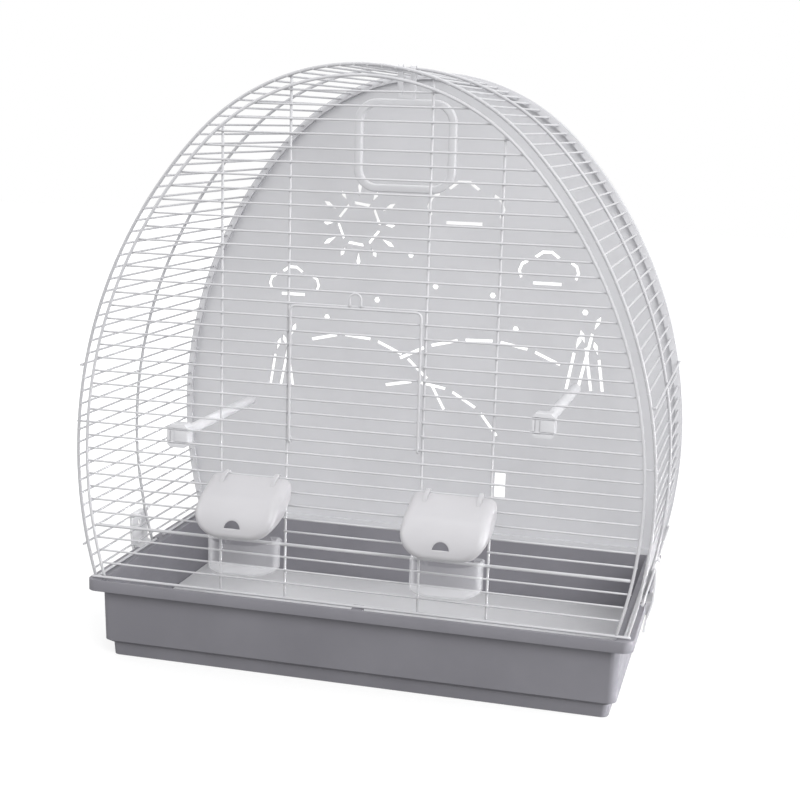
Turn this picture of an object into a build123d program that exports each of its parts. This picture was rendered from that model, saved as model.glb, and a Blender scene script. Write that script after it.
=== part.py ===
from build123d import *
import os
from math import acos, cos, degrees, pi, radians, sin, sqrt, tan

# A wire bird cage with an arched top, standing on a deep tray. All sizes are in millimetres.
# Origin: centre of the tray's underside. +X is right, +Y is back and +Z is up.

# Wires
bar_pitch = 12.5
wire = 1.8
upright_wire = 2.4
frame_wire = 2.8
arch_wire = 3.0
cross_wire = 3.0
door_wire = 2.4
latch_wire = 2.0
weld_gap = 0.02
wire_overhang = 1.0
wire_sides = 4
knuckle_sides = 12

# Arched outline of the cage, on the centre line of its outer arches
crown_radius = 211.0
crown_half_angle = 46.6
side_radius = 440.0
cage_height = 488.3
cage_depth = 266.0
frame_inset = 11.0
foot_margin = 4.0
wires_per_group = 10

# Front wall, in wire levels counted up from just above the sill
row_lift = 1.3
crown_gap = 8.0
door_hinge_level = 12
door_head_level = 22
hood_level = 9
cross_level = 4
inner_upright_x = 64.0
outer_upright_x = 128.0

# Tray
rim_side_margin = 3.0
rim_end_margin = 9.0
rim_side_overhang = 11.8
rim_end_overhang = 9.0
rim_top = 78.6
rim_height = 10.6
rim_wall = 2.6
rim_corner = 10.0
rim_clip_block = 57.0
rim_lip = 2.6
sight_gap = 3.2
tray_wall = 3.2
tray_corner = 8.0
tray_draft = 1.3
shoulder_z = 16.3
ledge_z = 18.8
plinth_step = 6.0
plinth_corner = 7.0
plinth_draft = 0.8
plinth_height = 12.0
plinth_wall = 3.0
tray_floor = 2.5
liner = 1.2
liner_gap = 1.0

# Door
door_half_width = 60.5
door_head_gap = 1.5
door_corner = 5.0
eye_clearance = 0.3
eye_turn = 235.0
latch_width = 12.5
latch_rise = 14.5

# Feeder hoods and cups, with heights from the wires that they hang on
hood_width = 78.0
hood_depth = 50.0
hood_rise = 0.5
hood_front_drop = 48.5
hood_rear_drop = 16.5
hood_slope = 22.0
hood_brow = 32.0
hood_corner = 25.0
hood_wall = 1.6
hood_gap = 1.6
hook_spread = 49.0
hook_width = 4.0
hook_wall = 2.2
hook_clearance = 0.3
gusset_run = 14.0
thumb_hole = 16.0
thumb_hole_drop = 37.5
cup_width = 65.0
cup_shift = -3.0
cup_depth = 39.0
cup_drop = 23.0
cup_rise = 7.0
cup_corner = 20.0
cup_rear_corner = 3.0
cup_bevel = 1.8
cup_wall = 1.6
cup_gap = 0.3
ear_width = 9.0
ear_wall = 1.6
ear_drop = 8.0

# Perches
perch_diameter = 10.0
perch_length = 181.0
perch_block_width = 20.0
perch_block_height = 22.0
perch_block_depth = 14.0
perch_block_corner = 3.0
perch_block_lead = 0.4
perch_groove_play = 0.1
perch_slot_width = 5.0
perch_slot_height = 15.0
perch_slot_depth = 6.0
left_perch_x = -171.0
left_perch_level = 11.5
right_perch_x = 172.0
right_perch_level = 14.5

# Swing
swing_x = 6.25
swing_width = 100.0
swing_height = 88.0
swing_band = 7.5
swing_corner = 22.0
swing_thickness = 8.0
swing_drop = 28.3
swing_hook_spread = 12.5
swing_hook_width = 5.0
swing_hook_play = 0.55
swing_hook_wall = 1.9
swing_mouth = 2.6

# Side clips
clip_y = -8.0
clip_width = 36.0
clip_wall = 2.2
clip_wire_from_foot = 2
knuckle_wall = 1.8
pin_play = 0.1
clip_arch_room = 4.9
clip_bend_drop = 12.0
clip_waist = 7.5
clip_knee = 2.0
clip_finger = 13.0
clip_hole = 6.0
clip_hole_drop = 11.0
clip_low = 49.0
toe_play = 0.3
toe_thickness = 2.6
toe_reach = 2.2
toe_side_gap = 3.0
tongue_thickness = 3.0
notch_depth = 8.0
notch_play = 0.6

# Back panel
panel_thickness = 2.4
panel_rim = 6.0
panel_lip = 1.6
panel_play = 0.3
panel_slot = 3.4
pattern_pitch = 10.0
drop_width = 5.0
dot_radius = 3.4
dot_sides = 6
panel_window_x = 86.0
panel_window_z = 58.5
panel_window_width = 12.0
panel_window_height = 27.0

# Rest in the tray's rim that holds the sill from below and behind
catch_x = 8.8
catch_width = 10.4
catch_height = 2.2
catch_back = 1.6

# Places that follow from the sizes above
crown_angle = radians(crown_half_angle)
sill_z = rim_top + frame_wire / 2
wall_z = sill_z + row_lift
crown_z = sill_z + cage_height - crown_radius
top_level = int((crown_z + crown_radius - frame_inset - crown_gap - wall_z) / bar_pitch)
side_offset = side_radius - crown_radius
side_x = -side_offset * sin(crown_angle)
side_z = crown_z - side_offset * cos(crown_angle)
front_y = -cage_depth / 2
back_y = cage_depth / 2
row_y = front_y + frame_wire / 2 + weld_gap + wire / 2
row_back = row_y + wire / 2
cross_y = row_back - cross_wire / 2
upright_y = row_back + weld_gap + upright_wire / 2
front_arch_y = front_y + frame_wire / 2 - arch_wire / 2
band_offset = arch_wire / 2 + weld_gap + wire / 2
feeder_x = (inner_upright_x + outer_upright_x) / 2
eye_radius = wire / 2 + eye_clearance + door_wire / 2


def level_z(level):
    """Height of a front wire, counted in pitches."""
    return wall_z + level * bar_pitch


def arch_point(angle, inset):
    """Point of the arched outline, moved inward by inset, at an angle from straight up."""
    side = 1 if angle >= 0 else -1
    turn = abs(angle)
    if turn <= crown_angle:
        radius = crown_radius - inset
        return (side * radius * sin(turn), crown_z + radius * cos(turn))
    radius = side_radius - inset
    return (side * (side_x + radius * sin(turn)), side_z + radius * cos(turn))


def arch_angle(distance):
    """Angle from straight up at a distance along the outline from its top."""
    crown_length = crown_radius * crown_angle
    if distance <= crown_length:
        return distance / crown_radius
    return crown_angle + (distance - crown_length) / side_radius


def foot_angle(z, inset):
    """Angle at which the side arc comes down to a height."""
    return acos((z - side_z) / (side_radius - inset))


def half_width(z, inset):
    """Half the width of the outline at a height."""
    if z >= crown_z + (crown_radius - inset) * cos(crown_angle):
        return sqrt((crown_radius - inset) ** 2 - (z - crown_z) ** 2)
    return side_x + sqrt((side_radius - inset) ** 2 - (z - side_z) ** 2)


def arch_line(plane, inset, bottom, closed=False):
    """The arched outline as three tangent arcs, down to a height and closed there if asked."""
    low = foot_angle(bottom, inset)
    with BuildLine(plane) as outline:
        for start, end in ((-low, -crown_angle), (-crown_angle, crown_angle), (crown_angle, low)):
            middle = (start + end) / 2
            ThreePointArc(arch_point(start, inset), arch_point(middle, inset), arch_point(end, inset))
        if closed:
            Line(arch_point(low, inset), arch_point(-low, inset))
    return outline


def arch_face(inset, bottom):
    """The area inside the arched outline."""
    outline = arch_line(Plane.XY, inset, bottom, closed=True)
    with BuildSketch() as area:
        add(outline.line)
        make_face()
    return area.sketch


def wire_section(diameter):
    """Section of a wire in the open sketch. Wires on which nothing turns have flats, to stay light."""
    RegularPolygon(diameter / 2, wire_sides)


def arched_wire(y, inset, diameter, foot_z):
    """A bent wire along the outline, cut flat at its feet."""
    plane = Plane.XZ.offset(-y)
    outline = arch_line(plane, inset, foot_z - diameter)
    start = Plane(outline.line @ 0, z_dir=outline.line % 0)
    with BuildPart() as bent:
        with BuildSketch(start):
            wire_section(diameter)
        sweep(path=outline.line)
        split(bisect_by=Plane.XY.offset(foot_z), keep=Keep.TOP)
    return bent


def cross_rows(runs, y=row_y, diameter=wire, pins=()):
    """Straight wires along X. Each run is a height with its two ends. Wires at pin heights are round."""
    with BuildPart() as rows:
        for z, left, right in runs:
            with BuildSketch(Plane.YZ.offset(left)):
                with Locations((y, z)):
                    if z in pins:
                        Circle(diameter / 2)
                    else:
                        wire_section(diameter)
            extrude(amount=right - left)
    return rows


def save(piece, label):
    """Labels a finished piece and writes it to its own file."""
    piece.part.label = label
    export_step(piece.part, f"parts/{label}.step")


os.makedirs("parts", exist_ok=True)

# Tray: an open box with a hollow rim, stepped in near its foot to leave a ledge for the floor sheet.
# In front the rim is low behind its lip, so that the floor sheet is seen under the sill.
sill_half = half_width(sill_z, 0) + arch_wire / 2
rim_width = 2 * (sill_half + rim_side_margin)
rim_depth = cage_depth + 2 * rim_end_margin
tray_width = rim_width - 2 * rim_side_overhang
tray_depth = rim_depth - 2 * rim_end_overhang
shoulder_width = tray_width - 2 * tray_draft
shoulder_depth = tray_depth - 2 * tray_draft
plinth_width = shoulder_width - 2 * plinth_step
plinth_depth = shoulder_depth - 2 * plinth_step
inner_corner = tray_corner - tray_wall
clip_notch_x = rim_width / 2 - notch_depth
with BuildPart() as base_tray:
    with BuildSketch():
        RectangleRounded(plinth_width - 2 * plinth_draft, plinth_depth - 2 * plinth_draft, plinth_corner)
    with BuildSketch(Plane.XY.offset(plinth_height)):
        RectangleRounded(plinth_width, plinth_depth, plinth_corner)
    loft()
    with BuildSketch(Plane.XY.offset(plinth_height)):
        RectangleRounded(plinth_width, plinth_depth, plinth_corner)
    with BuildSketch(Plane.XY.offset(shoulder_z)):
        RectangleRounded(shoulder_width, shoulder_depth, tray_corner)
    loft()
    with BuildSketch(Plane.XY.offset(shoulder_z)):
        RectangleRounded(shoulder_width, shoulder_depth, tray_corner)
    with BuildSketch(Plane.XY.offset(rim_top)):
        RectangleRounded(tray_width, tray_depth, tray_corner)
    loft()
    with BuildSketch(Plane.XY.offset(rim_top)):
        RectangleRounded(rim_width, rim_depth, rim_corner)
    extrude(amount=-rim_height)
    with BuildSketch(Plane.XY.offset(ledge_z)):
        RectangleRounded(shoulder_width - 2 * tray_wall, shoulder_depth - 2 * tray_wall, inner_corner)
    with BuildSketch(Plane.XY.offset(rim_top)):
        RectangleRounded(tray_width - 2 * tray_wall, tray_depth - 2 * tray_wall, inner_corner)
    loft(mode=Mode.SUBTRACT)
    foot_trim = 2 * (plinth_draft + plinth_wall)
    with BuildSketch(Plane.XY.offset(tray_floor)):
        RectangleRounded(plinth_width - foot_trim, plinth_depth - foot_trim, plinth_corner - plinth_wall)
    with BuildSketch(Plane.XY.offset(ledge_z)):
        RectangleRounded(plinth_width - 2 * plinth_wall, plinth_depth - 2 * plinth_wall, plinth_corner - plinth_wall)
    loft(mode=Mode.SUBTRACT)
    with BuildSketch(Plane.XY.offset(rim_top - rim_height)):
        Rectangle(rim_width - 2 * rim_corner, rim_depth - 2 * rim_wall)
        Rectangle(rim_width - 2 * rim_wall, rim_depth - 2 * rim_corner)
        Rectangle(tray_width, tray_depth, mode=Mode.SUBTRACT)
        with Locations((0, clip_y)):
            Rectangle(rim_width, rim_clip_block, mode=Mode.SUBTRACT)
    extrude(amount=rim_height - rim_wall - sight_gap, mode=Mode.SUBTRACT)
    with BuildSketch(Plane.XY.offset(rim_top)):
        with Locations((0, -rim_depth / 2 + rim_lip)):
            Rectangle(tray_width - 2 * tray_wall, rim_depth / 2, align=(Align.CENTER, Align.MIN))
    extrude(amount=-sight_gap, mode=Mode.SUBTRACT)
    with BuildSketch(Plane.XY.offset(rim_top)):
        with Locations((clip_notch_x + notch_depth, clip_y), (-clip_notch_x - notch_depth, clip_y)):
            Rectangle(2 * notch_depth, clip_width + 2 * notch_play)
    extrude(amount=-rim_height, mode=Mode.SUBTRACT)
save(base_tray, "base_tray")

# Loose floor sheet on the tray's ledge
liner_width = shoulder_width - 2 * tray_wall - 2 * liner_gap
liner_depth = shoulder_depth - 2 * tray_wall - 2 * liner_gap
with BuildPart() as floor_liner:
    with BuildSketch(Plane.XY.offset(ledge_z)):
        RectangleRounded(liner_width, liner_depth, inner_corner)
    extrude(amount=liner)
save(floor_liner, "floor_liner")

# Rest under the middle of the sill, with a step that rises behind it
with BuildPart() as sill_catch:
    with BuildSketch(Plane.YZ.offset(catch_x - catch_width / 2)):
        with BuildLine():
            rest_back = front_y + frame_wire / 2 + weld_gap
            Polyline(
                (rim_lip - rim_depth / 2, rim_top - sight_gap),
                (rest_back + catch_back, rim_top - sight_gap),
                (rest_back + catch_back, rim_top + catch_height),
                (rest_back, rim_top + catch_height),
                (rest_back, rim_top - weld_gap),
                (rim_lip - rim_depth / 2, rim_top - weld_gap),
                close=True,
            )
        make_face()
    extrude(amount=catch_width)
save(sill_catch, "sill_catch")

# Front sill, and a rail along each side with a gap behind the middle arch
save(cross_rows([(sill_z, -sill_half, sill_half)], front_y, frame_wire), "sill_wire")

rail_x = half_width(rim_top, 0) - arch_wire / 2 / cos(foot_angle(rim_top, 0) - pi / 2) - frame_wire / 2 - 0.1
panel_front = back_y - arch_wire / 2 - panel_play - panel_lip
rail_runs = ((front_y + frame_wire / 2 + weld_gap, arch_wire), (20.0, panel_front - panel_play))
for side, label in ((-1, "left_rails"), (1, "right_rails")):
    with BuildPart() as rails:
        for near, far in rail_runs:
            with BuildSketch(Plane.XZ.offset(-near)):
                with Locations((side * rail_x, sill_z)):
                    wire_section(frame_wire)
            extrude(amount=near - far)
    save(rails, label)

# Three arches and the frame of the front wall
sill_top = sill_z + frame_wire / 2 + weld_gap
save(arched_wire(front_arch_y, 0, arch_wire, sill_top), "front_arch")
save(arched_wire(front_y, frame_inset, frame_wire, sill_top), "front_frame")
save(arched_wire(0, 0, arch_wire, rim_top + weld_gap), "middle_arch")
save(arched_wire(back_y, 0, arch_wire, rim_top + weld_gap), "rear_arch")

# Wires along the depth of the cage, laid over the arches from one foot to the other
half_arch_length = crown_radius * crown_angle + side_radius * (foot_angle(sill_z, 0) - crown_angle)
band_per_side = int((half_arch_length - foot_margin) / bar_pitch + 0.5)
band_half = cage_depth / 2 + arch_wire / 2


def band_place(number):
    """Centre of a depth wire, numbered from the left foot."""
    distance = (number - band_per_side + 0.5) * bar_pitch
    side = 1 if distance > 0 else -1
    return arch_point(side * arch_angle(abs(distance)), -band_offset)


clip_pins = (clip_wire_from_foot, 2 * band_per_side - 1 - clip_wire_from_foot)
for first in range(0, 2 * band_per_side, wires_per_group):
    group = range(first, min(first + wires_per_group, 2 * band_per_side))
    with BuildPart() as band:
        with BuildSketch(Plane.XZ):
            with Locations([band_place(n) for n in group if n not in clip_pins]):
                wire_section(wire)
            for pin in set(group) & set(clip_pins):
                with Locations(band_place(pin)):
                    Circle(wire / 2)
        extrude(amount=band_half, both=True)
    save(band, f"band_wires_{first // wires_per_group + 1:02d}")


def row_end(level):
    """Half length of a front wire, just past the frame's centre line."""
    return half_width(level_z(level), frame_inset) + wire_overhang


def full_rows(levels):
    """Wires across the whole front wall at these levels."""
    return [(level_z(k), -row_end(k), row_end(k)) for k in levels]


# Front wall wires: whole rows, and rows that stop at the door and the feeder openings
hinge_end = half_width(level_z(door_hinge_level), 0) + wire_overhang
save(cross_rows(full_rows(range(door_head_level, top_level + 1))), "top_rows")
hood_wire_z = level_z(hood_level)
hinge_z = level_z(door_hinge_level)
save(cross_rows(full_rows(range(hood_level, door_hinge_level)), pins=[hood_wire_z]), "middle_rows")
save(cross_rows([(hinge_z, -hinge_end, hinge_end)], pins=[hinge_z]), "door_hinge_row")
save(cross_rows(full_rows(range(1, cross_level))), "lower_rows")

door_side = inner_upright_x - wire_overhang
door_levels = range(door_hinge_level + 1, door_head_level)
save(cross_rows([(level_z(k), -row_end(k), -door_side) for k in door_levels]), "left_door_side_rows")
save(cross_rows([(level_z(k), door_side, row_end(k)) for k in door_levels]), "right_door_side_rows")

feeder_levels = range(cross_level + 1, hood_level)
outer_stop = outer_upright_x - wire_overhang
inner_stop = inner_upright_x + wire_overhang
save(cross_rows([(level_z(k), -row_end(k), -outer_stop) for k in feeder_levels]), "left_feeder_side_rows")
save(cross_rows([(level_z(k), -inner_stop, inner_stop) for k in feeder_levels]), "between_feeder_rows")
save(cross_rows([(level_z(k), outer_stop, row_end(k)) for k in feeder_levels]), "right_feeder_side_rows")

# Thick wire that carries the cups, butted between the legs of the frame
cross_z = level_z(cross_level)
cross_half = half_width(cross_z - cross_wire / 2, frame_inset) - frame_wire / 2 * 1.05 - 0.1
save(cross_rows([(cross_z, -cross_half, cross_half)], cross_y, cross_wire), "cross_wire")

# Uprights behind the rows: the outer pair stop at the frame, the inner pair reach the arch
for x, inset, name in (
    (outer_upright_x, frame_inset, "outer"),
    (inner_upright_x, 0, "inner"),
):
    for side, hand in ((-1, "left"), (1, "right")):
        upright_top = crown_z + sqrt((crown_radius - inset) ** 2 - x**2)
        with BuildPart() as upright:
            with BuildSketch(Plane.XY.offset(rim_top + weld_gap)):
                with Locations((side * x, upright_y)):
                    wire_section(upright_wire)
            extrude(amount=upright_top - rim_top)
        save(upright, f"{hand}_{name}_upright")

# Door: one bent wire with an eye at each foot round the hinge wire, and its own rows
leg_y = row_y - eye_radius
door_top_z = level_z(door_head_level) - door_head_gap


def eye_point(x, turn):
    """Point of the eye's centre line, turned down and back from the leg."""
    return (x, row_y - eye_radius * cos(radians(turn)), hinge_z - eye_radius * sin(radians(turn)))


with BuildPart() as door_frame:
    with BuildLine() as door_path:
        left = -door_half_width
        right = door_half_width
        corner = door_corner * (1 - sqrt(0.5))
        ThreePointArc(eye_point(left, eye_turn), eye_point(left, eye_turn / 2), eye_point(left, 0))
        Line((left, leg_y, hinge_z), (left, leg_y, door_top_z - door_corner))
        ThreePointArc(
            (left, leg_y, door_top_z - door_corner),
            (left + corner, leg_y, door_top_z - corner),
            (left + door_corner, leg_y, door_top_z),
        )
        Line((left + door_corner, leg_y, door_top_z), (right - door_corner, leg_y, door_top_z))
        ThreePointArc(
            (right - door_corner, leg_y, door_top_z),
            (right - corner, leg_y, door_top_z - corner),
            (right, leg_y, door_top_z - door_corner),
        )
        Line((right, leg_y, door_top_z - door_corner), (right, leg_y, hinge_z))
        ThreePointArc(eye_point(right, 0), eye_point(right, eye_turn / 2), eye_point(right, eye_turn))
    with BuildSketch(Plane(door_path.line @ 0, z_dir=door_path.line % 0)):
        wire_section(door_wire)
    sweep(path=door_path.line)
save(door_frame, "door_frame")

door_row_y = leg_y + door_wire / 2 + weld_gap + wire / 2
door_row_end = door_half_width + door_wire / 2
save(cross_rows([(level_z(k), -door_row_end, door_row_end) for k in door_levels], door_row_y), "door_rows")

# Finger loop standing on the door's top wire
latch_y = leg_y
latch_foot = door_top_z + door_wire / 2 + weld_gap
latch_radius = (latch_width - latch_wire) / 2
latch_straight = latch_rise - door_wire / 2 - latch_wire / 2 - latch_radius
with BuildPart() as door_latch:
    with BuildLine(Plane.XZ.offset(-latch_y)) as latch_path:
        Line((-latch_radius, latch_foot), (-latch_radius, latch_foot + latch_straight))
        ThreePointArc(
            (-latch_radius, latch_foot + latch_straight),
            (0, latch_foot + latch_straight + latch_radius),
            (latch_radius, latch_foot + latch_straight),
        )
        Line((latch_radius, latch_foot + latch_straight), (latch_radius, latch_foot))
    with BuildSketch(Plane(latch_path.line @ 0, z_dir=latch_path.line % 0)):
        wire_section(latch_wire)
    sweep(path=latch_path.line)
save(door_latch, "door_latch")

# Feeder hoods: visors that hang by two hooks on a front wire, open below and behind
hook_inner = wire / 2 + hook_clearance
hook_outer = hook_inner + hook_wall
front_low = hood_wire_z - hood_front_drop
rear_low = hood_wire_z - hood_rear_drop
hole_z = hood_wire_z - thumb_hole_drop


def visor_profile(shrink, drop):
    """Side profile of the hood in Y and Z, pulled in by its wall and dropped below its edge."""
    rear = front_y - hood_gap
    slope = radians(hood_slope)
    brow = hood_brow - shrink
    front = front_y - hood_depth + shrink
    top = hood_wire_z + hood_rise - shrink / cos(slope)
    bend_y = front + brow * (1 - sin(slope))
    bend_z = top - (rear - bend_y) * tan(slope)
    end_z = bend_z - brow * cos(slope)
    half = (pi / 2 + slope) / 2
    centre_y = front + brow
    with BuildSketch() as profile:
        with BuildLine():
            Line((rear, top), (bend_y, bend_z))
            ThreePointArc(
                (bend_y, bend_z),
                (centre_y - brow * sin(half), end_z + brow * cos(half)),
                (front, end_z),
            )
            Line((front, end_z), (front, front_low - drop))
            Line((front, front_low - drop), (rear, rear_low - drop))
            Line((rear, rear_low - drop), (rear, top))
        make_face()
    return profile.sketch


def visor_outline(centre, shrink, drop):
    """Front outline of the hood, square above and round at its lower corners."""
    high = hood_wire_z + hood_rise + 1
    low = front_low + shrink
    with BuildSketch() as outline:
        with Locations((centre, (high + low) / 2)):
            Rectangle(hood_width - 2 * shrink, high - low)
        corners = outline.vertices().group_by(Axis.Y)[0]
        fillet(corners, hood_corner - shrink)
        if drop:
            with Locations((centre, low)):
                Rectangle(hood_width - 2 * hood_corner, 2 * drop)
    return outline.sketch


def visor(centre, shrink, drop):
    """The solid hood, or the space in it where shrink is its wall."""
    with BuildPart() as solid:
        with BuildSketch(Plane.YZ.offset(centre - hood_width / 2 + shrink)):
            add(visor_profile(shrink, drop))
        extrude(amount=hood_width - 2 * shrink)
        with BuildSketch(Plane.XZ.offset(-front_y - drop)):
            add(visor_outline(centre, shrink, drop))
        extrude(amount=2 * hood_depth, mode=Mode.INTERSECT)
    return solid.part


def hook_profile():
    """Hook round the front wire, with a gusset running down the hood."""
    gusset_y = front_y - hood_gap - gusset_run
    gusset_z = hood_wire_z + hood_rise - gusset_run * tan(radians(hood_slope))
    with BuildSketch() as hook:
        with BuildLine():
            Polyline(
                (row_y, hood_wire_z + hook_outer),
                (gusset_y, gusset_z),
                (gusset_y, gusset_z - hood_wall / 2),
                (front_y - hood_gap - 0.2, hood_wire_z + hood_rise - hood_wall),
                (row_y - hook_outer, hood_wire_z),
                (row_y, hood_wire_z),
                close=True,
            )
        make_face()
        with Locations((row_y, hood_wire_z)):
            RegularPolygon(hook_outer, knuckle_sides)
            Circle(hook_inner, mode=Mode.SUBTRACT)
        with Locations((row_y, hood_wire_z - hook_outer)):
            Rectangle(2 * hook_inner, 2 * hook_outer, mode=Mode.SUBTRACT)
        with Locations((row_y - hook_outer, hood_wire_z - hook_outer)):
            Rectangle(2 * hook_outer, 2 * hook_outer - hook_inner, mode=Mode.SUBTRACT)
    return hook.sketch


for side, hand in ((-1, "left"), (1, "right")):
    centre = side * feeder_x
    with BuildPart() as hood:
        add(visor(centre, 0, 0))
        add(visor(centre, hood_wall, hood_wall * 3), mode=Mode.SUBTRACT)
        for hook_x in (-hook_spread / 2, hook_spread / 2):
            with BuildSketch(Plane.YZ.offset(centre + hook_x - hook_width / 2)):
                add(hook_profile())
            extrude(amount=hook_width)
        with BuildSketch(Plane.XZ.offset(-front_y + hood_depth / 2)):
            with Locations((centre, hole_z)):
                Circle(thumb_hole / 2)
            with Locations((centre, hole_z - thumb_hole / 2)):
                Rectangle(thumb_hole, thumb_hole, mode=Mode.SUBTRACT)
        extrude(amount=hood_depth, mode=Mode.SUBTRACT)
    save(hood, f"{hand}_hood")

# Feeder cups: clear cups with a round front, hung by two ears on the thick wire
ear_front = cross_y - cross_wire / 2 - cup_gap
ear_back = row_back + cup_gap
ear_low = cross_z + cross_wire / 2 + cup_gap
cup_low = cross_z - cup_drop
cup_top = cross_z + cup_rise


def cup_plan(centre, shrink):
    """Plan of the cup: flat behind, round at its two front corners."""
    with BuildSketch() as plan:
        with Locations((centre + cup_shift, front_y - cup_gap - cup_depth / 2)):
            Rectangle(cup_width - 2 * shrink, cup_depth - 2 * shrink)
        fillet(plan.vertices().group_by(Axis.Y)[0], cup_corner - shrink)
        chamfer(plan.vertices().group_by(Axis.Y)[-1], cup_rear_corner - shrink)
    return plan.sketch


for side, hand in ((-1, "left"), (1, "right")):
    centre = side * feeder_x
    with BuildPart() as cup:
        with BuildSketch(Plane.XY.offset(cup_low)):
            add(cup_plan(centre, 0))
        extrude(amount=cup_top - cup_low)
        chamfer(cup.faces().sort_by(Axis.Z)[0].edges(), cup_bevel)
        with BuildSketch(Plane.XY.offset(cup_low + cup_wall)):
            add(cup_plan(centre, cup_wall))
        extrude(amount=cup_top - cup_low, mode=Mode.SUBTRACT)
        for ear_x in (-hook_spread / 2, hook_spread / 2):
            with BuildSketch(Plane.YZ.offset(centre + ear_x - ear_width / 2)):
                with BuildLine():
                    cup_back = front_y - cup_gap
                    Polyline(
                        (cup_back - cup_wall, ear_low),
                        (ear_back, ear_low),
                        (ear_back, ear_low - ear_drop),
                        (ear_back + ear_wall, ear_low - ear_drop),
                        (ear_back + ear_wall, ear_low + ear_wall),
                        (cup_back - cup_wall, cup_top),
                        close=True,
                    )
                make_face()
            extrude(amount=ear_width)
        with BuildSketch(Plane.XZ.offset(-ear_back)):
            for ear_x in (-hook_spread / 2, hook_spread / 2):
                for lean in (-1, 1):
                    with BuildLine():
                        Polyline(
                            (centre + ear_x + lean * ear_width / 2, ear_low),
                            (centre + ear_x + lean * ear_width, ear_low - ear_drop - 1),
                            (centre + ear_x + lean * 0.8, ear_low - ear_drop - 1),
                            close=True,
                        )
                    make_face()
        extrude(amount=-2 * ear_wall, mode=Mode.SUBTRACT)
    save(cup, f"{hand}_cup")

# Perches: a block that grips two front wires, and a round rod that reaches into the cage
block_front = front_y + frame_wire / 2 - perch_block_lead
block_back = block_front + perch_block_depth
for hand, x, level in (
    ("left", left_perch_x, left_perch_level),
    ("right", right_perch_x, right_perch_level),
):
    perch_z = level_z(level)
    with BuildPart() as block:
        with BuildSketch(Plane.XZ.offset(-block_front)) as front:
            with Locations((x, perch_z)):
                Rectangle(perch_block_width, perch_block_height)
            chamfer(front.vertices(), perch_block_corner)
        extrude(amount=-perch_block_depth)
        with BuildSketch(Plane.XZ.offset(-block_front)):
            with Locations((x, perch_z + bar_pitch / 2), (x, perch_z - bar_pitch / 2)):
                Rectangle(perch_block_width, wire + 2 * perch_groove_play)
        extrude(amount=block_front - row_back - perch_groove_play, mode=Mode.SUBTRACT)
        with BuildSketch(Plane.XZ.offset(-block_front)):
            with Locations((x - perch_block_width / 4, perch_z)):
                Rectangle(perch_slot_width, perch_slot_height)
        extrude(amount=-perch_slot_depth, mode=Mode.SUBTRACT)
    save(block, f"{hand}_perch_block")
    with BuildPart() as rod:
        with BuildSketch(Plane.XZ.offset(-block_back)):
            with Locations((x, perch_z)):
                Circle(perch_diameter / 2)
        extrude(amount=-perch_length)
    save(rod, f"{hand}_perch_rod")

# Swing: a rounded loop on two hangers hooked over the middle arch
swing_reach = abs(swing_x) + (swing_hook_spread + swing_hook_width) / 2
swing_pivot_z = crown_z + (crown_radius + sqrt(crown_radius**2 - swing_reach**2)) / 2
swing_top = swing_pivot_z - swing_drop
swing_hook_inner = arch_wire / 2 + swing_hook_play
swing_hook_outer = swing_hook_inner + swing_hook_wall
with BuildPart() as swing_loop:
    with BuildSketch(Plane.XZ):
        with Locations((swing_x, swing_top - swing_height / 2)):
            RectangleRounded(swing_width, swing_height, swing_corner)
            RectangleRounded(
                swing_width - 2 * swing_band,
                swing_height - 2 * swing_band,
                swing_corner - swing_band,
                mode=Mode.SUBTRACT,
            )
    extrude(amount=swing_thickness / 2, both=True)
save(swing_loop, "swing_loop")

with BuildPart() as swing_hanger:
    for hook_x in (-swing_hook_spread / 2, swing_hook_spread / 2):
        with BuildSketch(Plane.YZ.offset(swing_x + hook_x - swing_hook_width / 2)):
            with Locations((0, swing_pivot_z)):
                RegularPolygon(swing_hook_outer, knuckle_sides)
            with Locations((0, (swing_top + swing_pivot_z) / 2)):
                Rectangle(2 * swing_hook_inner, swing_pivot_z - swing_top)
            with Locations((0, swing_pivot_z)):
                Circle(swing_hook_inner, mode=Mode.SUBTRACT)
            with Locations((swing_hook_outer, swing_pivot_z - swing_hook_inner)):
                Rectangle(2 * swing_hook_outer, swing_mouth, rotation=-35, mode=Mode.SUBTRACT)
        extrude(amount=swing_hook_width)
    with BuildSketch(Plane.XY.offset(swing_top)):
        with Locations((swing_x, 0)):
            Rectangle(swing_hook_spread + swing_hook_width, 2 * swing_hook_inner)
    extrude(amount=swing_band / 2)
save(swing_hanger, "swing_hanger")

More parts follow.
